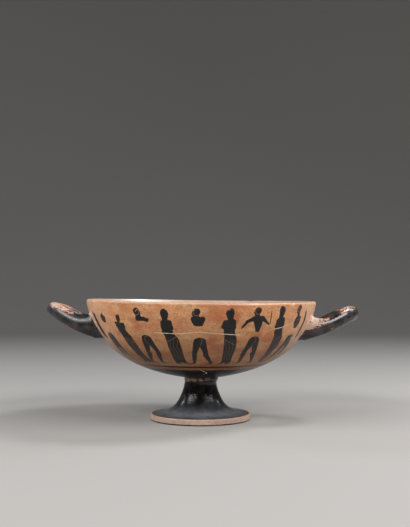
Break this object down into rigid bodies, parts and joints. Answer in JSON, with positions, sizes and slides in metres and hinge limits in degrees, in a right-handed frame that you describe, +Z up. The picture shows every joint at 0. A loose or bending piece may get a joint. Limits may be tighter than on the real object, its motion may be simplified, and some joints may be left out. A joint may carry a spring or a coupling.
{
  "type": "kylix cup",
  "caption": "Shallow footed drinking cup of fired clay, with rising loop handles, a flared stem on a flat disc foot and a black-figure frieze on a reserved wall.",
  "frame": {"origin": "on the cup's axis at the level of the surface it stands on, which is the bottom centre of its box", "axes": "+Z up along the cup's axis; +X through the handles; -Y towards the painted front"},
  "size_m": [0.278, 0.205, 0.1043],
  "materials": {
    "painted_terracotta": "fired orange clay with glossy black slip, worn in places"
  },
  "bodies": {
    "root": {"kylix_cup": "painted_terracotta"}
  },
  "joints": []
}
